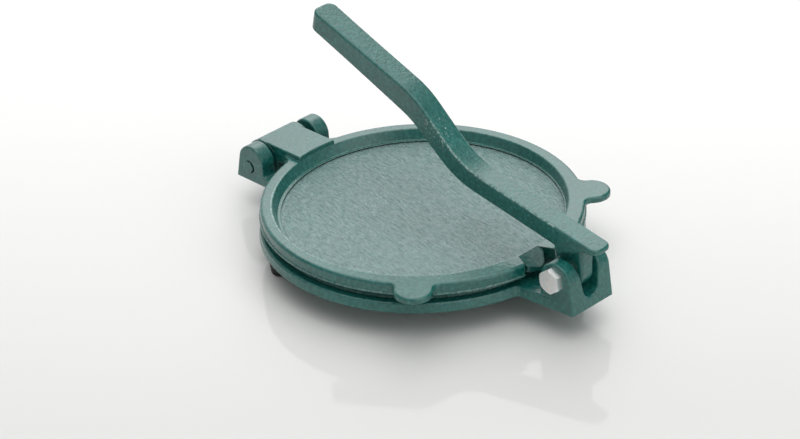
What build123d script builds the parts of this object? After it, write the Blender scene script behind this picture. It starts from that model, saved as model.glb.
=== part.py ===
from build123d import *
import math
import os

# Cast roti press: a hinged lid plate over a round base plate, with a bent lever on a pivot bolt.
# Millimetres, +Z up, +X from the hinge towards the lever's pivot. Everything is drawn about the
# axis of the plates with Z = 0 on the table, and moved at the end so that the origin is on the
# table under the middle of the whole press.

# Heights above the table
rim_top = 37.9
rim_bottom = rim_top - 7.6
lid_bottom = rim_top - 12.1
press_gap = 0.3
base_top = lid_bottom - press_gap
ledge_top = rim_top - 13.7
base_bottom = rim_top - 20.4

# Lid plate
lid_radius = 100.0
rim_half_length = 101.8
rim_x = 0.6
pad_radius = 95.0
rim_rounding = 1.8
rim_foot_rounding = 0.8
parting_reach = 0.7
parting_height = 0.8
pad_rounding = 0.6
tray_mouth_radius = 91.9
tray_mouth_x = -1.4
tray_ledge_radius = 89.6
tray_ledge_depth = 6.2
tray_floor_radius = 88.3
tray_floor_x = 0.7
tray_depth = 7.6
tray_rounding = 1.0
tab_angle = 48.7
tab_radius = 11.9
tab_reach = 118.0
tab_thickness = 3.8
tab_fillet = 5.0

# Hinge at the back
hinge_x = -126.3
hinge_z = rim_top - 10.7
barrel_radius = 13.6
tongue_half_width = 16.2
tongue_fillet = 10.0
tongue_pad_near_y = -16.0
tongue_pad_far_y = 14.7
tongue_pad_back_x = hinge_x - 4.0
tongue_pad_front_x = -80.0
tongue_pad_rounding = 0.8
pin_radius = 3.9
barrel_clearance = 0.05
ear_inner_y = 19.4
ear_outer_y = 30.0
ear_round = (-123.3, rim_top - 6.2, 11.0)
ear_foot_back_x = -137.2
ear_foot_front_x = -112.3
ear_root_x = -92.0
ear_root_fillet = 3.0
ear_rounding = 1.0
worn_hole_radius = 4.4
worn_hole_offset = (1.5, 0.7)

# Notch in the rim at the front, with a sloping tongue in it
notch_x = 91.5
notch_near_y = -11.2
notch_far_y = 5.0
notch_flare = math.tan(math.radians(26))
notch_end_x = 110.0
nose_drop = math.tan(math.radians(23))
nose_back_x = 88.5
nose_near_shoulder = (99.8, -12.2)
nose_tip_x = 104.0
nose_tip_near_y = -5.0
nose_tip_far = (102.3, 0.2)
nose_far_shoulder = (95.5, 6.6)
nose_corner = 2.0

# Base plate
base_foot_radius = 101.9
base_draft = 10.0
base_rounding = 1.2
base_foot_rounding = 0.8
hollow_radius = 56.0
hollow_depth = 3.0
arm_root_x = 80.0
arm_near_root_y = -22.9
arm_near_end_y = -17.7
arm_far_y = 25.0
arm_bend_x = 121.5
arm_bend_length = 12.6
arm_end_x = 138.5
arm_corner = 2.5

# Clevis block and pivot bolt
pivot_x = 125.2
pivot_z = rim_top - 0.2
block_near_y = -17.5
block_far_y = 19.0
block_round = (126.2, rim_top - 1.2, 11.6)
block_foot_back_x = 114.4
block_foot_front_x = 140.4
slot_y = 0.9
slot_bottom = rim_top - 13.8
slot_radius = 6.4
slot_mouth_half_width = 9.8
block_rounding = 1.2
bolt_radius = 4.75
bolt_hole_radius = 4.95
eye_clearance = 0.05
hex_flats = 14.0
head_turn = 7.6
head_height = 4.5
hex_chamfer = 0.9
bolt_end_inset = 0.8
bolt_end_chamfer = 0.8

# Lever
lever_half_width = 7.7
handle_half_width = 9.1
handle_end_x = -90.0
handle_top = (-82.4, rim_top + 108.0)
handle_foot = (-85.2, rim_top + 95.1)
bend_top = (2.8, rim_top + 76.6)
bend_foot = (0.4, rim_top + 59.3)
knee_top = (42.1, rim_top + 42.3)
knee_foot = (36.5, rim_top + 30.7)
tail_x = 149.5
tail_top_z = rim_top + 22.9
tail_foot_z = rim_top + 19.7
crook = (117.6, rim_top + 15.8)
neck_foot = (118.5, rim_top + 6.8)
arch_rise = (123.0, rim_top + 12.3)
arch_shoulder = (131.0, rim_top + 15.2)
arch_end = (139.0, rim_top + 19.3)
handle_end_corner = 5.5
crook_corner = 3.0
neck_corner = 1.8
arch_corner = 6.0
bend_radius = 60.0
tail_corner = 5.0
lever_rounding = 1.5
eye_radius = 10.6
lug_near_y = -4.4
lug_far_y = 6.8
lug_back_x = 117.4
lug_front_x = 135.8
lug_top_z = rim_top + 18.5
lug_corner = 3.0
lug_near_rounding = 3.0
lug_far_rounding = 2.0

# Rubber feet and their screws
foot_places = {"foot_front": (70.0, 0.0), "foot_left": (-49.0, 75.4), "foot_right": (-49.0, -75.4)}
foot_top_radius = 9.0
foot_radius = 6.5
foot_rounding = 1.2
screw_radius = 2.0
screw_head_radius = 3.8
screw_head_height = 2.6
screw_seat = 8.0
screw_depth = 6.0
screw_well_radius = 4.3
slot_width = 1.0

# How far a cut reaches past the face it opens, and how near counts as the same place
cut_margin = 1.0
near_enough = 0.01

# The whole press is centred between the barrel's back and the lever's tail.
middle_x = (hinge_x - barrel_radius + tail_x) / 2


def slab(outline, bottom, top):
    """A flat outline in plan, raised from one height to another."""
    return extrude(Pos(0, 0, bottom) * outline, amount=top - bottom)


def side_slab(outline, low_y, high_y):
    """A side outline (X, Z), from one Y to another."""
    return Pos(0, high_y, 0) * extrude(Plane.XZ * outline, amount=high_y - low_y)


def cross_rod(x, z, radius, low_y, high_y):
    """A round rod along Y."""
    return Pos(x, low_y, z) * Rot(-90, 0, 0) * Cylinder(
        radius, high_y - low_y, align=(Align.CENTER, Align.CENTER, Align.MIN)
    )


def hull_outline(round_end, foot_back_x, foot_front_x, foot_z):
    """A lug seen from the side: a round top that runs straight down to a wider foot."""
    x, z, radius = round_end
    top = Pos(x, z) * Circle(radius)
    foot = Line((foot_back_x, foot_z), (foot_front_x, foot_z))
    return make_hull(top.edges() + foot.edges())


def edges_at(shape, height):
    """The edges that lie flat at one height."""
    return shape.edges().filter_by_position(Axis.Z, height - near_enough, height + near_enough)


def rim_outline():
    """The lid's rim in plan, a little longer towards the front, with its hinge tongue."""
    rim = Pos(rim_x, 0) * Ellipse(rim_half_length, lid_radius)
    tongue = Pos(hinge_x / 2, 0) * Rectangle(-hinge_x, 2 * tongue_half_width)
    outline = rim + tongue
    roots = outline.vertices().filter_by_position(Axis.X, -lid_radius, hinge_x / 2)
    return fillet(roots, tongue_fillet)


def parting_line():
    """The thin line of metal that the mould's joint leaves round the foot of the rim."""
    outline = Pos(rim_x, 0) * Ellipse(rim_half_length + parting_reach, lid_radius + parting_reach)
    return slab(outline, rim_bottom, rim_bottom + parting_height)


def tabbed_outline():
    """The rim in plan with its two lifting tabs, each round and filleted at its root."""
    outline = rim_outline()
    for side in (-1, 1):
        turn = Rot(0, 0, side * tab_angle)
        outline += turn * Pos(tab_reach - tab_radius, 0) * Circle(tab_radius)
        root = (turn * Pos(lid_radius, 0)).position
        outline = fillet(outline.vertices().sort_by_distance(root)[:2], tab_fillet)
    return outline


def tray():
    """The sunk tray: a sloping wall, a narrow ledge and a flat floor."""
    mouth = Pos(tray_mouth_x, 0, rim_top) * Circle(tray_mouth_radius)
    ledge = Pos(0, 0, rim_top - tray_ledge_depth) * Circle(tray_ledge_radius)
    wall = loft([ledge, mouth])
    floor = Pos(tray_floor_x, 0) * Circle(tray_floor_radius)
    return wall + slab(floor, rim_top - tray_depth, rim_top - tray_ledge_depth)


def notch_outline():
    """The gap in the rim in plan, wider towards the outside."""
    reach = notch_end_x - notch_x
    return make_face(
        Polyline(
            (notch_x, notch_near_y),
            (notch_end_x, notch_near_y - reach * notch_flare),
            (notch_end_x, notch_far_y + reach * notch_flare),
            (notch_x, notch_far_y),
            close=True,
        )
    )


def nose():
    """The rounded tongue that slopes down and out through the notch."""
    plan = make_face(
        FilletPolyline(
            (nose_back_x, notch_near_y),
            nose_near_shoulder,
            (nose_tip_x, nose_tip_near_y),
            nose_tip_far,
            nose_far_shoulder,
            (nose_back_x, notch_far_y),
            radius=[0, nose_corner, nose_corner, nose_corner, nose_corner, 0],
            close=True,
        )
    )
    slope = make_face(
        Polyline(
            (nose_back_x, rim_bottom),
            (nose_tip_x, rim_bottom),
            (nose_tip_x, rim_top - (nose_tip_x - notch_x) * nose_drop),
            (notch_x, rim_top),
            (nose_back_x, rim_top),
            close=True,
        )
    )
    return slab(plan, rim_bottom, rim_top) & side_slab(slope, -lid_radius, lid_radius)


def press_face(bottom, top, rounded):
    """A round pressing face, with the edge of its free side rounded."""
    disc = slab(Circle(pad_radius), bottom, top)
    return fillet(edges_at(disc, rounded), pad_rounding)


def tongue_pad():
    """The flat raised pad on the hinge tongue, which ends at the tray's wall."""
    top = hinge_z + barrel_radius
    middle = ((tongue_pad_back_x + tongue_pad_front_x) / 2, (tongue_pad_near_y + tongue_pad_far_y) / 2)
    plan = Pos(*middle) * Rectangle(
        tongue_pad_front_x - tongue_pad_back_x, tongue_pad_far_y - tongue_pad_near_y
    )
    mouth = Pos(tray_mouth_x, 0) * Circle(tray_mouth_radius)
    pad = slab(plan, rim_bottom, top) - tray() - slab(mouth, rim_top, top)
    rounded = edges_at(pad, top).sort_by(Axis.X)[1:]
    return fillet(rounded, tongue_pad_rounding)


def lid_plate():
    tab_bottom = rim_top - tab_thickness
    rim = slab(rim_outline(), rim_bottom, tab_bottom) + slab(tabbed_outline(), tab_bottom, rim_top)
    rim = fillet(edges_at(rim, rim_top), rim_rounding)
    rim = fillet(edges_at(rim, rim_bottom), rim_foot_rounding)
    rim += parting_line()
    rim -= slab(notch_outline(), rim_bottom, rim_top)
    rim += nose() + press_face(lid_bottom, rim_bottom, lid_bottom)
    rim -= tray()
    mouth = edges_at(rim, rim_top).filter_by(lambda edge: edge.is_closed)
    rim = fillet(mouth, tray_rounding)
    rim += tongue_pad()
    rim += cross_rod(hinge_x, hinge_z, barrel_radius, -tongue_half_width, tongue_half_width)
    bore = pin_radius + barrel_clearance
    return rim - cross_rod(hinge_x, hinge_z, bore, -ear_outer_y, ear_outer_y)


def hinge_ear(side):
    """One hinge ear with its low root on the base's edge, and a worn pin hole."""
    lug = hull_outline(ear_round, ear_foot_back_x, ear_foot_front_x, base_bottom)
    root_length = ear_root_x - ear_round[0]
    root = Pos(ear_round[0] + root_length / 2, (base_bottom + ledge_top) / 2) * Rectangle(
        root_length, ledge_top - base_bottom
    )
    outline = lug + root
    corner = outline.vertices().sort_by_distance((ear_foot_front_x, ledge_top))[0]
    outline = fillet(corner, ear_root_fillet)
    low_y, high_y = sorted((side * ear_inner_y, side * ear_outer_y))
    ear = side_slab(outline, low_y, high_y)
    ear = fillet(ear.faces().filter_by(Axis.Y).edges(), ear_rounding)
    ear -= cross_rod(hinge_x, hinge_z, pin_radius, -ear_outer_y, ear_outer_y)
    worn_x = hinge_x + worn_hole_offset[0]
    worn_z = hinge_z + worn_hole_offset[1]
    return ear - cross_rod(worn_x, worn_z, worn_hole_radius, -ear_outer_y, ear_outer_y)


def clevis_block():
    """The block that carries the lever: a tapered slot lengthwise, and the bolt's hole across it."""
    outline = hull_outline(block_round, block_foot_back_x, block_foot_front_x, base_bottom)
    block = side_slab(outline, block_near_y, block_far_y)
    mouth_z = block_round[1] + block_round[2] + cut_margin
    bottom = Pos(slot_y, slot_bottom + slot_radius) * Circle(slot_radius)
    mouth = Line((slot_y - slot_mouth_half_width, mouth_z), (slot_y + slot_mouth_half_width, mouth_z))
    slot = Plane.YZ * make_hull(bottom.edges() + mouth.edges())
    block -= extrude(slot, amount=block_foot_front_x + cut_margin)
    outer = block.edges().filter_by(Axis.X, reverse=True).filter_by(Axis.Y, reverse=True)
    block = fillet(outer, block_rounding)
    block -= cross_rod(pivot_x, pivot_z, bolt_hole_radius, block_near_y, slot_y)
    return block - cross_rod(pivot_x, pivot_z, bolt_radius, slot_y, block_far_y)


def arm_outline():
    """The arm in plan: straight on the near side, stepped in with an S bend on the far side."""
    bend_end_x = arm_bend_x + arm_bend_length
    bend_middle = (arm_bend_x + arm_bend_length / 2, (arm_far_y + block_far_y) / 2)
    straight = Polyline(
        (arm_bend_x, arm_far_y),
        (arm_root_x, arm_far_y),
        (arm_root_x, arm_near_root_y),
        (arm_end_x, arm_near_end_y),
        (arm_end_x, block_far_y),
        (bend_end_x, block_far_y),
    )
    start = TangentArc((arm_bend_x, arm_far_y), bend_middle, tangent=(1, 0))
    finish = TangentArc((bend_end_x, block_far_y), bend_middle, tangent=(-1, 0))
    return make_face(straight.edges() + start.edges() + finish.edges())


def base_plate():
    outline = Circle(base_foot_radius) + arm_outline()
    corners = outline.vertices().filter_by_position(Axis.X, arm_root_x, base_foot_radius)
    outline = Pos(0, 0, base_bottom) * fillet(corners, arm_corner)
    plate = extrude(outline, amount=ledge_top - base_bottom, taper=base_draft)
    plate = fillet(edges_at(plate, ledge_top), base_rounding)
    plate = fillet(edges_at(plate, base_bottom), base_foot_rounding)
    plate += press_face(base_bottom + hollow_depth, base_top, base_top)
    plate -= slab(Circle(hollow_radius), base_bottom, base_bottom + hollow_depth)
    for side in (-1, 1):
        plate += hinge_ear(side)
    plate += clevis_block()
    for place in foot_places.values():
        plate -= slab(Pos(*place) * Circle(screw_radius), base_bottom, base_bottom + screw_depth)
    return plate


def hinge_pin():
    return cross_rod(hinge_x, hinge_z, pin_radius, -ear_outer_y, ear_outer_y)


def hex_head():
    """A hex head that stands on Z = 0, point up in X, with its outer end turned to a cone."""
    circle = hex_flats / math.sqrt(3)
    block = extrude(RegularPolygon(circle, 6), amount=head_height)
    cone = Cylinder(circle, head_height, align=(Align.CENTER, Align.CENTER, Align.MIN))
    rise = hex_chamfer * math.tan(math.radians(30))
    return block & chamfer(edges_at(cone, head_height), rise, hex_chamfer)


def pivot_bolt():
    """The hex bolt: its head on the near side, its end screwed into the far ear."""
    seat = Plane(origin=(pivot_x, block_near_y, pivot_z), x_dir=(0, 0, 1), z_dir=(0, -1, 0))
    head = Location(seat) * Rot(0, 0, head_turn) * hex_head()
    shank = cross_rod(pivot_x, pivot_z, bolt_radius, block_near_y, block_far_y - bolt_end_inset)
    end = shank.edges().sort_by(Axis.Y)[-1]
    return head + chamfer(end, bolt_end_chamfer)


def lever_outline():
    """The lever's bar from the side: handle, double bend, straight bar, and the arch under its tail."""
    bar = FilletPolyline(
        handle_foot,
        bend_foot,
        knee_foot,
        crook,
        neck_foot,
        arch_rise,
        arch_shoulder,
        arch_end,
        (tail_x, tail_foot_z),
        (tail_x, tail_top_z),
        knee_top,
        bend_top,
        handle_top,
        radius=[
            0,
            bend_radius,
            bend_radius,
            crook_corner,
            neck_corner,
            arch_corner,
            arch_corner,
            arch_corner,
            0,
            0,
            bend_radius,
            bend_radius,
            0,
        ],
        close=True,
    )
    return make_face(bar)


def lever_plan():
    """The lever from above: even in width up to the bend, then slowly wider along the handle."""
    sides = []
    for side in (-1, 1):
        bend = (bend_foot[0], side * lever_half_width)
        sides.append(Line((tail_x, side * lever_half_width), bend))
        sides.append(TangentArc(bend, (handle_end_x, side * handle_half_width), tangent=(-1, 0)))
    for x, half_width in ((tail_x, lever_half_width), (handle_end_x, handle_half_width)):
        sides.append(Line((x, -half_width), (x, half_width)))
    return make_face(sides)


def eye_lug():
    """The narrower lug under the bar, which ends in the eye and sits in the clevis slot."""
    neck = make_face(
        Polyline(
            (lug_back_x, pivot_z),
            (lug_front_x, pivot_z),
            (lug_front_x, lug_top_z),
            (lug_back_x, lug_top_z),
            close=True,
        )
    )
    outline = neck + Pos(pivot_x, pivot_z) * Circle(eye_radius)
    crotch = outline.vertices().sort_by_distance((lug_back_x, pivot_z + eye_radius))[0]
    lug = side_slab(fillet(crotch, lug_corner), lug_near_y, lug_far_y)
    for face, rounding in ((0, lug_near_rounding), (-1, lug_far_rounding)):
        sides = lug.faces().sort_by(Axis.Y)[face].edges()
        lug = fillet(sides.filter_by_position(Axis.Z, 0, lug_top_z - near_enough), rounding)
    return lug


def lever():
    """The bent bar, rounded along all its edges, with its bored lug."""
    blank = side_slab(lever_outline(), -2 * handle_half_width, 2 * handle_half_width)
    blank &= slab(lever_plan(), 0, 2 * handle_top[1])
    tail_end = blank.faces().sort_by(Axis.X)[-1]
    blank = fillet(tail_end.edges().filter_by(Axis.Z), tail_corner)
    handle_end = blank.faces().sort_by(Axis.X)[0]
    blank = fillet(handle_end.edges().filter_by(Axis.Y, reverse=True), handle_end_corner)
    across = blank.faces().filter_by(lambda face: abs(face.normal_at().Y) < near_enough)
    along = across.sort_by(Axis.X)[1:-1].edges().filter_by(Axis.Y, reverse=True)
    blank = fillet(along, lever_rounding) + eye_lug()
    eye = bolt_radius + eye_clearance
    return blank - cross_rod(pivot_x, pivot_z, eye, lug_near_y, lug_far_y)


def rubber_foot():
    """A tapered rubber foot under the base, with a well for its screw."""
    taper = loft(
        [Circle(foot_radius), Pos(0, 0, base_bottom) * Circle(foot_top_radius)]
    )
    foot = fillet(edges_at(taper, 0), foot_rounding)
    foot -= slab(Circle(screw_well_radius), 0, screw_seat)
    return foot - slab(Circle(screw_radius), screw_seat, base_bottom)


def foot_screw():
    """A slotted screw whose head sits in the foot's well."""
    head_bottom = screw_seat - screw_head_height
    head = slab(Circle(screw_head_radius), head_bottom, screw_seat)
    head = fillet(edges_at(head, head_bottom), screw_head_height / 3)
    cut = Rectangle(2 * screw_head_radius, slot_width)
    head -= slab(cut, head_bottom, head_bottom + screw_head_height / 2)
    return head + slab(Circle(screw_radius), screw_seat, base_bottom + screw_depth)


def save(name, shape):
    export_step(Pos(-middle_x, 0, 0) * shape, f"parts/{name}.step")


os.makedirs("parts", exist_ok=True)
save("base_plate", base_plate())
save("lid_plate", lid_plate())
save("lever", lever())
save("hinge_pin", hinge_pin())
save("pivot_bolt", pivot_bolt())
screws = []
for name, place in foot_places.items():
    save(name, Pos(*place) * rubber_foot())
    screws.append(Pos(*place) * foot_screw())
save("foot_screws", Compound(screws))
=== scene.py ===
import math

import bpy
from mathutils import Matrix, Vector

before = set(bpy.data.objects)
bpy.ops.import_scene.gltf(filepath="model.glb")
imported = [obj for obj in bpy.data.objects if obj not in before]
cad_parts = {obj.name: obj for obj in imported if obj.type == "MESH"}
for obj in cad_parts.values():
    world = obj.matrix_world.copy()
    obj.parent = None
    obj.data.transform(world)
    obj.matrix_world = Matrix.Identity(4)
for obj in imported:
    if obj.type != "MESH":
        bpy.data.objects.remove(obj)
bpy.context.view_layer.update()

bl_info = {
    "name": "Roti Press",
    "version": (1, 0, 0),
    "blender": (4, 5, 0),
    "location": "3D View > Sidebar > Roti Press",
    "description": "Finishes and a photo stage for a cast roti press",
    "category": "Object",
}

CASTINGS = ("base_plate", "lid_plate", "lever", "hinge_pin")
FASTENERS = ("pivot_bolt", "foot_screws")
FEET = ("foot_front", "foot_left", "foot_right")

# Millimetres in one of Blender's metres, for patterns that are sized in millimetres.
MM = 1000.0

# The lid's middle at the top of its rim, which the camera is aimed from.
RIM_TOP = Vector((-0.0048, 0.0, 0.0379))

# Heights of the tray's floor and of the step round it, and how far from each its paint reaches.
TRAY_FLOOR = {1: RIM_TOP.z - 0.0076, 2: 0.0004}
TRAY_STEP = {1: RIM_TOP.z - 0.0069, 2: 0.0005}

# No point of the tray's floor is farther than this from the lid's middle.
TRAY_REACH = 0.0925

# The pale edge of the tray's mouth, partly rubbed paint and partly a painted highlight: its middle, its
# radius and its height with half their spread, and the side on which it shows, where it fades in over three
# centimetres.
MOUTH_MIDDLE = (-0.0062, 0.0, 0.0)
MOUTH_RING = {1: 0.0923, 2: 0.0006}
MOUTH_HEIGHT = {1: RIM_TOP.z, 2: 0.0009}
MOUTH_SIDE = (0.25, -0.97, 0.0)
MOUTH_FADE = {"From Min": 0.0, "From Max": 0.03}

# The top edges of the lever's bar, where a pale line is painted as a highlight: the middle and half of its
# length, its least height, and the sideways and upward lean of a surface that counts as an edge.
BAR_LENGTH = {1: 0.062, 2: 0.050}
BAR_LOW = {1: 0.050}
BAR_SIDEWAYS = {1: 0.62, 2: 0.27}
BAR_UPWARD = {1: 0.3}

# The chipped spot on the lever's near side, below its bend, and how its chips thin out with distance.
LEVER_BEND = (0.0190, -0.0077, 0.0975)
CHIP_FADE = {"From Min": 0.013, "From Max": 0.007}

# Most of a noise pattern lies in this span, and most of the marks on the zinc lie in a wider one.
NOISE_SPAN = {"From Min": 0.3, "From Max": 0.7}
MARK_SPAN = {"From Min": 0.2, "From Max": 0.8}

# How the paint's noise patterns turn into shares of flake, shade, dust and painted sheen on the tray's
# floor, pale edge that is partly rubbed paint and partly painted highlight, and chips.
FLAKE_SHARE = {"From Min": 0.38, "From Max": 0.64, "To Min": 0.0, "To Max": 0.6}
DRIFT_SHADE = {**NOISE_SPAN, "To Min": 0.88, "To Max": 1.08}
DUST_AND_SHEEN_SHARE = {"From Min": 0.35, "From Max": 0.65, "To Min": 0.29, "To Max": 0.49}
EDGE_PATCH_SHARE = {"From Min": 0.38, "From Max": 0.58, "To Min": 0.0, "To Max": 0.65}
CHIP_SHARE = {"From Min": 0.60, "From Max": 0.66}

# The cosine between the true and the rounded surface, from where the pale edge starts to where it is full,
# and the number of rays that feel for an edge. The pale edge is partly worn paint and partly a painted
# highlight.
EDGE_SHARE = {"From Min": 0.98, "From Max": 0.85}
EDGE_SAMPLES = 6

# Makeup of the noise in the flake and the sand-cast skin, in the tray's grain, and in the film's drift.
FINE_NOISE = {"Detail": 3.0, "Roughness": 0.6}
GRAIN_NOISE = {"Scale": 1.0, "Detail": 3.0, "Roughness": 0.55}
DRIFT_DETAIL = 2.0

# How softly one dimple runs into the next, and the width of a patch of flake as a share of a dimple's.
DIMPLE_BLEND = 0.8
FLAKE_PER_DIMPLE = 0.8

# Shares of the dimples and of the sand in the skin's relief, and the depths of that skin and of the grain.
DIMPLE_RELIEF = 0.3
SAND_RELIEF = 0.9
SKIN_BUMP = {"Strength": 0.4, "Distance": 0.0007}
GRAIN_BUMP = {"Strength": 1.0, "Distance": 0.0018}

# Makeup of the marks on the zinc plate, their depth, and how far crystal patches tint it.
MARK_DETAIL = 3.0
MARK_BUMP = {"Strength": 0.2, "Distance": 0.0001}
SPANGLE_TINT = 0.10

# Makeup of the rubber's moulded grain, its depth, and the roughness that it gives.
RUBBER_DETAIL = 2.0
RUBBER_BUMP = {"Strength": 0.3, "Distance": 0.0001}
RUBBER_ROUGH = {**NOISE_SPAN, "To Min": 0.68, "To Max": 0.82}

# The floor: half its width, and how its colour is painted paler towards the side that is farthest from the
# camera, as painted light in place of the light falling off towards the front.
FLOOR_HALF = 3.0
FLOOR_FAR_SIDE = (-0.70, 0.71, 0.0)
FLOOR_PAINTED_LIGHT_FADE = {"From Min": -0.18, "From Max": 0.38}
FLOOR_FINISH = {"Roughness": 0.05, "IOR": 1.49, "Specular IOR Level": 0.1}

# The tent: the brightest that a wall can be, and the upward lean at which the walls turn into the ceiling.
WALL_MOST = 2.0
CEILING_FADE = {"From Min": 0.68, "From Max": 0.92}

# Where the large key light hangs, high behind the press and a little to the camera's right, and the cosines
# over which its border fades.
KEY_SIDE = Vector((-0.47, 0.62, 0.63))
KEY_FADE = {"From Min": 0.92, "From Max": 0.99}

# Where a dark card hangs, high on the camera's left, and the cosines over which its border fades. It draws
# a dark line along the handle's edge.
CARD_SIDE = Vector((-0.62, -0.50, 0.61))
CARD_FADE = {"From Min": 0.88, "From Max": 0.96}

# The softbox above the press.
SOFTBOX_PLACE = Vector((0.1, 0.1, 1.8))
SOFTBOX_SIZE = 1.2

# The camera's sensor in millimetres, and the farthest that it sees.
SENSOR_WIDTH = 36.0
CAMERA_FAR = 50.0


def linear(hex_colour):
    """An sRGB hex colour as linear red, green and blue."""
    values = [int(hex_colour[i:i + 2], 16) / 255 for i in (1, 3, 5)]
    return [v / 12.92 if v <= 0.04045 else ((v + 0.055) / 1.055) ** 2.4 for v in values]


def add_node(tree, kind, values=(), links=(), **settings):
    """Adds one node with its settings, its input values and its incoming links."""
    node = tree.nodes.new(kind)
    for name, value in settings.items():
        setattr(node, name, value)
    for socket, value in dict(values).items():
        node.inputs[socket].default_value = value
    for socket, source in dict(links).items():
        tree.links.new(source, node.inputs[socket])
    return node


def new_material(name):
    """An empty node material, and its tree."""
    material = bpy.data.materials.new(name)
    material.use_nodes = True
    material.node_tree.nodes.clear()
    return material, material.node_tree


def surface_place(tree):
    """The place of a point on its piece, in metres and in millimetres."""
    place = add_node(tree, "ShaderNodeTexCoord").outputs["Object"]
    in_mm = add_node(
        tree, "ShaderNodeVectorMath", {1: (MM, MM, MM)}, {0: place}, operation="MULTIPLY"
    ).outputs[0]
    return place, in_mm


def finish_nodes(names, material):
    """Gives CAD nodes a material in place of the plain one that they came with."""
    for name in names:
        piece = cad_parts[name]
        piece.data.materials.clear()
        piece.data.materials.append(material)


class PaintSettings(bpy.types.PropertyGroup):
    colour: bpy.props.FloatVectorProperty(
        name="Paint", description="Body colour of the paint", subtype="COLOR",
        default=linear("#0f5953"), min=0, max=1,
    )
    pale: bpy.props.FloatVectorProperty(
        name="Pale mottle", description="Paint where the metal flake floats up", subtype="COLOR",
        default=linear("#2f7a72"), min=0, max=1,
    )
    # Dust and painted sheen: the tray's floor is given this paler, greyer colour, partly as dust and partly
    # as painted sheen.
    dust_and_sheen: bpy.props.FloatVectorProperty(
        name="Dusty paint", description="Greyer paint on the tray's floor", subtype="COLOR",
        default=linear("#abc0bf"), min=0, max=1,
    )
    # Painted shade: this dark colour is laid in the step round the tray's floor, where shade falls.
    step_shade: bpy.props.FloatVectorProperty(
        name="Grime", description="Grime in the step round the tray's floor", subtype="COLOR",
        default=linear("#0d3a35"), min=0, max=1,
    )
    # Painted highlight and wear: this pale colour is laid on edges as rubbed paint and painted highlight,
    # and on the chips below the bend as wear.
    worn_and_highlit: bpy.props.FloatVectorProperty(
        name="Worn edges", description="Thin, rubbed paint along the edges", subtype="COLOR",
        default=linear("#a6c4bd"), min=0, max=1,
    )
    edge: bpy.props.FloatProperty(
        name="Edge", description="Radius of the paint over a sharp edge", unit="LENGTH",
        default=0.0008, min=0, max=0.005,
    )
    smooth: bpy.props.FloatProperty(
        name="Smoothest", description="Roughness of the paint where it is smoothest", subtype="FACTOR",
        default=0.17, min=0, max=1,
    )
    rough: bpy.props.FloatProperty(
        name="Roughest", description="Roughness of the paint where it is roughest", subtype="FACTOR",
        default=0.28, min=0, max=1,
    )
    gloss: bpy.props.FloatProperty(
        name="Gloss", description="Strength of the mirror image in the paint", subtype="FACTOR",
        default=0.72, min=0, max=1,
    )
    dimple: bpy.props.FloatProperty(
        name="Dimple", description="Width of one hammertone dimple", unit="LENGTH",
        default=0.0030, min=0.0005, max=0.02,
    )
    sand: bpy.props.FloatProperty(
        name="Sand", description="Width of the sand-cast texture under the paint", unit="LENGTH",
        default=0.0017, min=0.0003, max=0.02,
    )
    drift: bpy.props.FloatProperty(
        name="Drift", description="Width of the slow changes in the film's shade", unit="LENGTH",
        default=0.038, min=0.005, max=0.2,
    )
    grain_length: bpy.props.FloatProperty(
        name="Grain length", description="Length of the cast grain in the tray", unit="LENGTH",
        default=0.0062, min=0.0005, max=0.02,
    )
    grain_width: bpy.props.FloatProperty(
        name="Grain width", description="Width of the cast grain in the tray", unit="LENGTH",
        default=0.0016, min=0.0003, max=0.02,
    )
    grain_turn: bpy.props.FloatProperty(
        name="Grain turn", description="Turn of the cast grain from the press's length", subtype="ANGLE",
        default=math.radians(11),
    )


class MetalSettings(bpy.types.PropertyGroup):
    colour: bpy.props.FloatVectorProperty(
        name="Zinc", description="Colour of the zinc plate", subtype="COLOR",
        default=linear("#fdfdfc"), min=0, max=1,
    )
    smooth: bpy.props.FloatProperty(
        name="Smoothest", description="Roughness of the zinc where it is smoothest", subtype="FACTOR",
        default=0.32, min=0, max=1,
    )
    rough: bpy.props.FloatProperty(
        name="Roughest", description="Roughness of the zinc where it is roughest", subtype="FACTOR",
        default=0.50, min=0, max=1,
    )
    spangle: bpy.props.FloatProperty(
        name="Spangle", description="Width of one patch of zinc crystal", unit="LENGTH",
        default=0.0012, min=0.0002, max=0.01,
    )
    mark: bpy.props.FloatProperty(
        name="Mark", description="Width of the soft marks in the steel", unit="LENGTH",
        default=0.0007, min=0.0001, max=0.01,
    )


class RubberSettings(bpy.types.PropertyGroup):
    colour: bpy.props.FloatVectorProperty(
        name="Rubber", description="Colour of the rubber feet", subtype="COLOR",
        default=linear("#1c1d1e"), min=0, max=1,
    )
    grain: bpy.props.FloatProperty(
        name="Grain", description="Width of the moulded grain", unit="LENGTH",
        default=0.0006, min=0.0001, max=0.01,
    )


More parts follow.
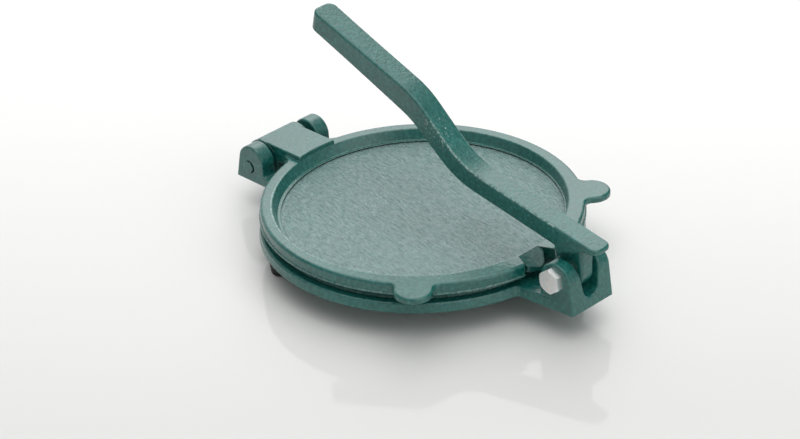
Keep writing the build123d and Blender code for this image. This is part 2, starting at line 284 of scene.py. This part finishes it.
class StageSettings(bpy.types.PropertyGroup):
    azimuth: bpy.props.FloatProperty(
        name="Azimuth", description="Camera's direction round the press", subtype="ANGLE",
        default=math.radians(-44.63),
    )
    elevation: bpy.props.FloatProperty(
        name="Elevation", description="Camera's height above the horizon", subtype="ANGLE",
        default=math.radians(30.03),
    )
    roll: bpy.props.FloatProperty(
        name="Roll", description="Camera's turn about its own axis", subtype="ANGLE",
        default=math.radians(-2.07),
    )
    distance: bpy.props.FloatProperty(
        name="Distance", description="Camera's distance from the lid", unit="LENGTH",
        default=1.8802, min=0.1,
    )
    offset: bpy.props.FloatVectorProperty(
        name="Offset", description="Camera's offset to its right and up", size=2, unit="LENGTH",
        default=(-0.01333, -0.01243),
    )
    lens: bpy.props.FloatProperty(
        name="Lens", description="Focal length on a 36 mm wide sensor", subtype="DISTANCE_CAMERA",
        default=136.4, min=1,
    )
    walls: bpy.props.FloatVectorProperty(
        name="Walls", description="Brightness of the tent's eight walls, from +X round by +Y", size=8,
        default=(1.41, 0.33, 0.10, 1.24, 0.75, 0.45, 0.40, 0.30), min=0, max=WALL_MOST,
    )
    ceiling: bpy.props.FloatProperty(
        name="Ceiling", description="Brightness of the tent's top", default=1.75, min=0,
    )
    key_glow: bpy.props.FloatProperty(
        name="Key glow", description="Brightness of the large key light", default=1.7, min=0,
    )
    card_shade: bpy.props.FloatProperty(
        name="Card shade", description="Share of light that the dark card leaves", subtype="FACTOR",
        default=0.3, min=0, max=1,
    )
    top_power: bpy.props.FloatProperty(
        name="Top softbox", description="Power of the softbox above the press", unit="POWER",
        default=1.37, min=0,
    )
    floor: bpy.props.FloatVectorProperty(
        name="Floor", description="Colour of the floor in front of the press", subtype="COLOR",
        default=linear("#dbdbd9"), min=0, max=1,
    )
    # Painted light: the floor behind the press is given a paler colour in place of brighter light there.
    floor_behind_painted_light: bpy.props.FloatVectorProperty(
        name="Floor behind", description="Colour of the floor behind the press", subtype="COLOR",
        default=linear("#f9f9f8"), min=0, max=1,
    )


class PressSettings(bpy.types.PropertyGroup):
    paint: bpy.props.PointerProperty(type=PaintSettings)
    metal: bpy.props.PointerProperty(type=MetalSettings)
    rubber: bpy.props.PointerProperty(type=RubberSettings)
    stage: bpy.props.PointerProperty(type=StageSettings)


def tray_grain(tree, paint, in_mm):
    """Noise drawn out into short strokes, a little turned from the press's length."""
    turned = add_node(
        tree, "ShaderNodeVectorRotate", {"Angle": paint.grain_turn}, {"Vector": in_mm},
        rotation_type="Z_AXIS",
    ).outputs[0]
    across = 1 / (paint.grain_width * MM)
    stroke = add_node(
        tree, "ShaderNodeVectorMath", {1: (1 / (paint.grain_length * MM), across, across)}, {0: turned},
        operation="MULTIPLY",
    ).outputs[0]
    return add_node(tree, "ShaderNodeTexNoise", GRAIN_NOISE, {"Vector": stroke}).outputs[0]


def tray_shares(tree, place, high):
    """Where the tray's floor is, and where the step round it is."""
    out = add_node(
        tree, "ShaderNodeVectorMath", {1: RIM_TOP}, {0: place}, operation="DISTANCE"
    ).outputs["Value"]
    near = add_node(tree, "ShaderNodeMath", {1: TRAY_REACH}, {0: out}, operation="LESS_THAN").outputs[0]
    level = add_node(tree, "ShaderNodeMath", TRAY_FLOOR, {0: high}, operation="COMPARE").outputs[0]
    tray = add_node(tree, "ShaderNodeMath", links={0: level, 1: near}, operation="MULTIPLY").outputs[0]
    # The step round the tray's floor, where shade is painted.
    step = add_node(tree, "ShaderNodeMath", TRAY_STEP, {0: high}, operation="COMPARE").outputs[0]
    step_shaded = add_node(tree, "ShaderNodeMath", links={0: step, 1: near}, operation="MULTIPLY").outputs[0]
    return tray, step_shaded


def sharp_edges(tree, eased):
    """Where the surface rounded over its edges leaves the true one."""
    facing = add_node(tree, "ShaderNodeNewGeometry").outputs["Normal"]
    along = add_node(
        tree, "ShaderNodeVectorMath", links={0: eased, 1: facing}, operation="DOT_PRODUCT"
    ).outputs["Value"]
    return add_node(tree, "ShaderNodeMapRange", EDGE_SHARE, {"Value": along}).outputs[0]


def mouth_edge(tree, place, high):
    """The front of the edge of the tray's mouth, where a pale line is painted that is partly rubbed paint
    and partly a highlight.
    """
    flat = add_node(
        tree, "ShaderNodeVectorMath", {1: (1, 1, 0)}, {0: place}, operation="MULTIPLY"
    ).outputs[0]
    out = add_node(
        tree, "ShaderNodeVectorMath", {1: MOUTH_MIDDLE}, {0: flat}, operation="DISTANCE"
    ).outputs["Value"]
    ring = add_node(tree, "ShaderNodeMath", MOUTH_RING, {0: out}, operation="COMPARE").outputs[0]
    top = add_node(tree, "ShaderNodeMath", MOUTH_HEIGHT, {0: high}, operation="COMPARE").outputs[0]
    mouth = add_node(tree, "ShaderNodeMath", links={0: ring, 1: top}, operation="MULTIPLY").outputs[0]
    front = add_node(
        tree, "ShaderNodeVectorMath", {1: MOUTH_SIDE}, {0: place}, operation="DOT_PRODUCT"
    ).outputs["Value"]
    held = add_node(tree, "ShaderNodeMapRange", MOUTH_FADE, {"Value": front}).outputs[0]
    return add_node(tree, "ShaderNodeMath", links={0: mouth, 1: held}, operation="MULTIPLY").outputs[0]


def bar_edge_highlights(tree, lengthwise, high):
    """The long top edges of the lever's bar, where a pale line is painted as a highlight."""
    facing = add_node(tree, "ShaderNodeTexCoord").outputs["Normal"]
    lean = add_node(tree, "ShaderNodeSeparateXYZ", links={0: facing}).outputs
    sideways = add_node(tree, "ShaderNodeMath", links={0: lean["Y"]}, operation="ABSOLUTE").outputs[0]
    sloped = add_node(tree, "ShaderNodeMath", BAR_SIDEWAYS, {0: sideways}, operation="COMPARE").outputs[0]
    upward = add_node(
        tree, "ShaderNodeMath", BAR_UPWARD, {0: lean["Z"]}, operation="GREATER_THAN"
    ).outputs[0]
    above = add_node(tree, "ShaderNodeMath", BAR_LOW, {0: high}, operation="GREATER_THAN").outputs[0]
    within = add_node(tree, "ShaderNodeMath", BAR_LENGTH, {0: lengthwise}, operation="COMPARE").outputs[0]
    bar = sloped
    for limit in (upward, above, within):
        bar = add_node(tree, "ShaderNodeMath", links={0: bar, 1: limit}, operation="MULTIPLY").outputs[0]
    return bar


def bend_chips(tree, place, sand):
    """Small chips on the lever, below its bend."""
    out = add_node(
        tree, "ShaderNodeVectorMath", {1: LEVER_BEND}, {0: place}, operation="DISTANCE"
    ).outputs["Value"]
    about = add_node(tree, "ShaderNodeMapRange", CHIP_FADE, {"Value": out}).outputs[0]
    chips = add_node(tree, "ShaderNodeMapRange", CHIP_SHARE, {"Value": sand}).outputs[0]
    return add_node(tree, "ShaderNodeMath", links={0: about, 1: chips}, operation="MULTIPLY").outputs[0]


def hammertone_enamel(paint):
    """Hammertone enamel, sprayed on sand-cast iron."""
    # The wet film draws into shallow dimples with pale metal flake between them. The eye sees a deep green
    # body with a soft gloss, pale edges that are partly rubbed paint and partly a painted highlight, chips
    # below the lever's bend, and in the tray a greyer floor that is partly dust and partly painted sheen,
    # with a stroked cast grain and painted shade in the step round it.
    material, tree = new_material("hammertone_enamel_on_cast_iron")
    place, in_mm = surface_place(tree)
    spot = add_node(tree, "ShaderNodeSeparateXYZ", links={0: place}).outputs
    lengthwise, high = spot["X"], spot["Z"]
    dimples = add_node(
        tree, "ShaderNodeTexVoronoi", {"Scale": 1 / (paint.dimple * MM), "Smoothness": DIMPLE_BLEND},
        {"Vector": in_mm}, feature="SMOOTH_F1",
    ).outputs["Distance"]
    mottle = add_node(
        tree, "ShaderNodeTexNoise", {"Scale": 1 / (FLAKE_PER_DIMPLE * paint.dimple * MM), **FINE_NOISE},
        {"Vector": in_mm},
    ).outputs[0]
    drift = add_node(
        tree, "ShaderNodeTexNoise", {"Scale": 1 / (paint.drift * MM), "Detail": DRIFT_DETAIL},
        {"Vector": in_mm},
    ).outputs[0]
    sand = add_node(
        tree, "ShaderNodeTexNoise", {"Scale": 1 / (paint.sand * MM), **FINE_NOISE}, {"Vector": in_mm}
    ).outputs[0]
    grain = tray_grain(tree, paint, in_mm)
    tray, step_shaded = tray_shares(tree, place, high)

    share = add_node(tree, "ShaderNodeMapRange", FLAKE_SHARE, {"Value": mottle}).outputs[0]
    film = add_node(
        tree, "ShaderNodeMix", {6: (*paint.colour, 1), 7: (*paint.pale, 1)}, {0: share}, data_type="RGBA"
    ).outputs[2]
    shade = add_node(tree, "ShaderNodeMapRange", DRIFT_SHADE, {"Value": drift}).outputs[0]
    film = add_node(
        tree, "ShaderNodeMix", {0: 1.0}, {6: film, 7: shade}, data_type="RGBA", blend_type="MULTIPLY"
    ).outputs[2]
    # Dust and painted sheen: the cast grain sets how much of the greyer colour covers the tray's floor.
    dust_and_sheen_level = add_node(tree, "ShaderNodeMapRange", DUST_AND_SHEEN_SHARE, {"Value": grain}).outputs[0]
    dust_and_sheen = add_node(tree, "ShaderNodeMath", links={0: tray, 1: dust_and_sheen_level}, operation="MULTIPLY").outputs[0]

    # The pale edges are partly rubbed paint and partly painted highlight; the bar's top edges are painted
    # highlight alone, and the chips below the bend are wear.
    eased = add_node(tree, "ShaderNodeBevel", {"Radius": paint.edge}, samples=EDGE_SAMPLES).outputs[0]
    edges = sharp_edges(tree, eased)
    for more in (mouth_edge(tree, place, high), bar_edge_highlights(tree, lengthwise, high)):
        edges = add_node(tree, "ShaderNodeMath", links={0: edges, 1: more}, operation="MAXIMUM").outputs[0]
    rubbed_and_lit = add_node(tree, "ShaderNodeMapRange", EDGE_PATCH_SHARE, {"Value": sand}).outputs[0]
    worn_and_highlit = add_node(tree, "ShaderNodeMath", links={0: edges, 1: rubbed_and_lit}, operation="MULTIPLY").outputs[0]
    chips = bend_chips(tree, place, sand)
    worn_and_highlit = add_node(tree, "ShaderNodeMath", links={0: worn_and_highlit, 1: chips}, operation="MAXIMUM").outputs[0]

    # Colour layers: dust and painted sheen on the tray's floor, painted shade in the step round it, and
    # pale edges that are partly wear and partly painted highlight.
    colour = film
    for coat, cover in ((paint.dust_and_sheen, dust_and_sheen), (paint.step_shade, step_shaded), (paint.worn_and_highlit, worn_and_highlit)):
        colour = add_node(
            tree, "ShaderNodeMix", {7: (*coat, 1)}, {0: cover, 6: colour}, data_type="RGBA"
        ).outputs[2]
    rough = add_node(
        tree, "ShaderNodeMapRange", {**NOISE_SPAN, "To Min": paint.smooth, "To Max": paint.rough},
        {"Value": mottle},
    ).outputs[0]
    height = add_node(
        tree, "ShaderNodeMath", {1: DIMPLE_RELIEF}, {0: dimples}, operation="MULTIPLY"
    ).outputs[0]
    height = add_node(
        tree, "ShaderNodeMath", {1: SAND_RELIEF}, {0: sand, 2: height}, operation="MULTIPLY_ADD"
    ).outputs[0]
    skin = add_node(tree, "ShaderNodeBump", SKIN_BUMP, {"Height": height, "Normal": eased}).outputs[0]
    grainy = add_node(tree, "ShaderNodeMath", links={0: grain, 1: tray}, operation="MULTIPLY").outputs[0]
    relief = add_node(tree, "ShaderNodeBump", GRAIN_BUMP, {"Height": grainy, "Normal": skin}).outputs[0]
    shader = add_node(
        tree, "ShaderNodeBsdfPrincipled", {"IOR": 1.52, "Specular IOR Level": paint.gloss},
        {"Base Color": colour, "Roughness": rough, "Normal": relief},
    ).outputs[0]
    add_node(tree, "ShaderNodeOutputMaterial", links={"Surface": shader})
    return material


def zinc_plate(metal):
    """Bright zinc plate on cold-headed steel."""
    # Thin electroplate keeps the steel's soft marks and adds faint crystal patches, so the eye sees a
    # pale silver that is bright on some facets and dark grey on others.
    material, tree = new_material("bright_zinc_plate_on_steel")
    in_mm = surface_place(tree)[1]
    spangle = add_node(
        tree, "ShaderNodeTexVoronoi", {"Scale": 1 / (metal.spangle * MM)}, {"Vector": in_mm}
    ).outputs["Color"]
    marks = add_node(
        tree, "ShaderNodeTexNoise", {"Scale": 1 / (metal.mark * MM), "Detail": MARK_DETAIL},
        {"Vector": in_mm},
    ).outputs[0]
    rough = add_node(
        tree, "ShaderNodeMapRange", {**MARK_SPAN, "To Min": metal.smooth, "To Max": metal.rough},
        {"Value": marks},
    ).outputs[0]
    plate = add_node(
        tree, "ShaderNodeMix", {0: SPANGLE_TINT, 6: (*metal.colour, 1)}, {7: spangle}, data_type="RGBA"
    ).outputs[2]
    dents = add_node(tree, "ShaderNodeBump", MARK_BUMP, {"Height": marks}).outputs[0]
    shader = add_node(
        tree, "ShaderNodeBsdfPrincipled", {"Metallic": 1.0},
        {"Base Color": plate, "Roughness": rough, "Normal": dents},
    ).outputs[0]
    add_node(tree, "ShaderNodeOutputMaterial", links={"Surface": shader})
    return material


def moulded_rubber(rubber):
    """Black rubber, moulded."""
    # Carbon-black rubber from a blasted mould: near black, with a fine grain and no clear highlight.
    material, tree = new_material("moulded_black_rubber")
    in_mm = surface_place(tree)[1]
    grain = add_node(
        tree, "ShaderNodeTexNoise", {"Scale": 1 / (rubber.grain * MM), "Detail": RUBBER_DETAIL},
        {"Vector": in_mm},
    ).outputs[0]
    rough = add_node(tree, "ShaderNodeMapRange", RUBBER_ROUGH, {"Value": grain}).outputs[0]
    skin = add_node(tree, "ShaderNodeBump", RUBBER_BUMP, {"Height": grain}).outputs[0]
    shader = add_node(
        tree, "ShaderNodeBsdfPrincipled", {"Base Color": (*rubber.colour, 1), "IOR": 1.52},
        {"Roughness": rough, "Normal": skin},
    ).outputs[0]
    add_node(tree, "ShaderNodeOutputMaterial", links={"Surface": shader})
    return material


def gloss_acrylic(stage):
    """White acrylic sheet, polished."""
    # A polished white sheet: the eye sees a soft shadow and, over it, a faint mirror image. Its colour is
    # painted paler towards the back, as painted light in place of the light's falloff towards the front.
    material, tree = new_material("polished_white_acrylic")
    place = add_node(tree, "ShaderNodeTexCoord").outputs["Object"]
    behind = add_node(
        tree, "ShaderNodeVectorMath", {1: FLOOR_FAR_SIDE}, {0: place}, operation="DOT_PRODUCT"
    ).outputs["Value"]
    share = add_node(tree, "ShaderNodeMapRange", FLOOR_PAINTED_LIGHT_FADE, {"Value": behind}).outputs[0]
    # Painted light: the floor's colour pales towards the back in place of the light's falloff towards the
    # front.
    colour = add_node(
        tree, "ShaderNodeMix", {6: (*stage.floor, 1), 7: (*stage.floor_behind_painted_light, 1)}, {0: share},
        data_type="RGBA",
    ).outputs[2]
    shader = add_node(tree, "ShaderNodeBsdfPrincipled", FLOOR_FINISH, {"Base Color": colour}).outputs[0]
    add_node(tree, "ShaderNodeOutputMaterial", links={"Surface": shader})
    return material


class PRESS_OT_paint_castings(bpy.types.Operator):
    """Paint the base, the lid, the lever and the hinge pin"""

    bl_idname = "press.paint_castings"
    bl_label = "Paint Castings"

    def execute(self, context):
        finish_nodes(CASTINGS, hammertone_enamel(context.scene.roti_press.paint))
        return {"FINISHED"}


class PRESS_OT_plate_fasteners(bpy.types.Operator):
    """Plate the pivot bolt and the foot screws"""

    bl_idname = "press.plate_fasteners"
    bl_label = "Plate Fasteners"

    def execute(self, context):
        finish_nodes(FASTENERS, zinc_plate(context.scene.roti_press.metal))
        return {"FINISHED"}


class PRESS_OT_mould_feet(bpy.types.Operator):
    """Mould the rubber feet"""

    bl_idname = "press.mould_feet"
    bl_label = "Mould Feet"

    def execute(self, context):
        finish_nodes(FEET, moulded_rubber(context.scene.roti_press.rubber))
        return {"FINISHED"}


def add_softbox(stage):
    """A square studio lamp above the press, which no surface mirrors."""
    lamp = bpy.data.lights.new("softbox_top", "AREA")
    lamp.shape = "RECTANGLE"
    lamp.size = SOFTBOX_SIZE
    lamp.size_y = SOFTBOX_SIZE
    lamp.energy = stage.top_power
    box = bpy.data.objects.new("softbox_top", lamp)
    bpy.context.scene.collection.objects.link(box)
    box.location = SOFTBOX_PLACE
    box.rotation_euler = (-SOFTBOX_PLACE).to_track_quat("-Z", "Y").to_euler()
    box.visible_glossy = False


def add_camera(stage):
    """The camera that sees the press as the photograph does."""
    azimuth, elevation = stage.azimuth, stage.elevation
    back = Vector((
        math.cos(elevation) * math.cos(azimuth),
        math.cos(elevation) * math.sin(azimuth),
        math.sin(elevation),
    ))
    level = Vector((-math.sin(azimuth), math.cos(azimuth), 0))
    upright = back.cross(level)
    right = level * math.cos(stage.roll) + upright * math.sin(stage.roll)
    up = upright * math.cos(stage.roll) - level * math.sin(stage.roll)
    place = RIM_TOP + back * stage.distance + right * stage.offset[0] + up * stage.offset[1]
    data = bpy.data.cameras.new("photo_camera")
    data.lens = stage.lens
    data.sensor_width = SENSOR_WIDTH
    data.clip_end = CAMERA_FAR
    camera = bpy.data.objects.new("photo_camera", data)
    bpy.context.scene.collection.objects.link(camera)
    turn = Matrix((right, up, back)).transposed().to_4x4()
    camera.matrix_world = Matrix.Translation(place) @ turn
    bpy.context.scene.camera = camera


def add_floor(stage):
    """A wide flat sheet under the press."""
    half = FLOOR_HALF
    sheet = bpy.data.meshes.new("floor")
    corners = [(-half, -half, 0), (half, -half, 0), (half, half, 0), (-half, half, 0)]
    sheet.from_pydata(corners, [], [(0, 1, 2, 3)])
    sheet.materials.append(gloss_acrylic(stage))
    floor = bpy.data.objects.new("floor", sheet)
    bpy.context.scene.collection.objects.link(floor)


def tent_walls(tree, stage, way):
    """The brightness of the tent's walls in a direction, which changes softly from wall to wall."""
    turn = add_node(
        tree, "ShaderNodeMath", links={0: way["Y"], 1: way["X"]}, operation="ARCTAN2"
    ).outputs[0]
    turn = add_node(tree, "ShaderNodeMath", {1: 1 / math.tau}, {0: turn}, operation="MULTIPLY").outputs[0]
    turn = add_node(tree, "ShaderNodeMath", links={0: turn}, operation="FRACT").outputs[0]
    wall = add_node(tree, "ShaderNodeValToRGB", links={0: turn})
    wall.color_ramp.interpolation = "EASE"
    stops = wall.color_ramp.elements
    for place in range(1, len(stage.walls)):
        stops.new(place / len(stage.walls))
    for stop, bright in zip(stops, (*stage.walls, stage.walls[0])):
        share = bright / WALL_MOST
        stop.color = (share, share, share, 1)
    return add_node(
        tree, "ShaderNodeMath", {1: WALL_MOST}, {0: wall.outputs[0]}, operation="MULTIPLY"
    ).outputs[0]


def add_world(stage):
    """A pale tent of eight walls and a ceiling, with a large key light and a dark card in it."""
    world = bpy.data.worlds.new("studio")
    world.use_nodes = True
    tree = world.node_tree
    tree.nodes.clear()
    way = add_node(tree, "ShaderNodeTexCoord").outputs["Generated"]
    split = add_node(tree, "ShaderNodeSeparateXYZ", links={0: way}).outputs
    walls = tent_walls(tree, stage, split)
    up = add_node(
        tree, "ShaderNodeMapRange", CEILING_FADE, {"Value": split["Z"]}, interpolation_type="SMOOTHSTEP"
    ).outputs[0]
    fill = add_node(tree, "ShaderNodeMix", {3: stage.ceiling}, {0: up, 2: walls}).outputs[0]
    towards = add_node(
        tree, "ShaderNodeVectorMath", {1: KEY_SIDE.normalized()}, {0: way}, operation="DOT_PRODUCT"
    ).outputs["Value"]
    glow = add_node(
        tree, "ShaderNodeMapRange", {**KEY_FADE, "To Min": 0.0, "To Max": stage.key_glow},
        {"Value": towards}, interpolation_type="SMOOTHSTEP",
    ).outputs[0]
    across = add_node(
        tree, "ShaderNodeVectorMath", {1: CARD_SIDE.normalized()}, {0: way}, operation="DOT_PRODUCT"
    ).outputs["Value"]
    shade = add_node(
        tree, "ShaderNodeMapRange", {**CARD_FADE, "To Min": 1.0, "To Max": stage.card_shade},
        {"Value": across}, interpolation_type="SMOOTHSTEP",
    ).outputs[0]
    light = add_node(
        tree, "ShaderNodeMath", links={0: fill, 1: shade, 2: glow}, operation="MULTIPLY_ADD"
    ).outputs[0]
    tent = add_node(
        tree, "ShaderNodeBackground", {"Color": (1, 1, 1, 1)}, {"Strength": light}
    ).outputs[0]
    add_node(tree, "ShaderNodeOutputWorld", links={"Surface": tent})
    bpy.context.scene.world = world


class PRESS_OT_set_stage(bpy.types.Operator):
    """Set up the floor, the soft light and the camera"""

    bl_idname = "press.set_stage"
    bl_label = "Set Stage"

    def execute(self, context):
        stage = context.scene.roti_press.stage
        context.scene.view_settings.view_transform = "Standard"
        add_camera(stage)
        add_floor(stage)
        add_world(stage)
        add_softbox(stage)
        return {"FINISHED"}


class PRESS_PT_sidebar(bpy.types.Panel):
    """Steps and settings of the roti press"""

    bl_idname = "PRESS_PT_sidebar"
    bl_label = "Roti Press"
    bl_space_type = "VIEW_3D"
    bl_region_type = "UI"
    bl_category = "Roti Press"

    def draw(self, context):
        settings = context.scene.roti_press
        for group in (settings.paint, settings.metal, settings.rubber, settings.stage):
            box = self.layout.box()
            for name in group.bl_rna.properties.keys():
                if name not in ("rna_type", "name"):
                    box.prop(group, name)
        for step in OPERATORS:
            self.layout.operator(step.bl_idname)


OPERATORS = (
    PRESS_OT_paint_castings,
    PRESS_OT_plate_fasteners,
    PRESS_OT_mould_feet,
    PRESS_OT_set_stage,
)
CLASSES = (
    PaintSettings,
    MetalSettings,
    RubberSettings,
    StageSettings,
    PressSettings,
    *OPERATORS,
    PRESS_PT_sidebar,
)


def register():
    for cls in CLASSES:
        bpy.utils.register_class(cls)
    bpy.types.Scene.roti_press = bpy.props.PointerProperty(type=PressSettings)


def unregister():
    del bpy.types.Scene.roti_press
    for cls in reversed(CLASSES):
        bpy.utils.unregister_class(cls)


def main():
    register()
    bpy.ops.press.paint_castings()
    bpy.ops.press.plate_fasteners()
    bpy.ops.press.mould_feet()
    bpy.ops.press.set_stage()


if __name__ == "__main__":
    main()
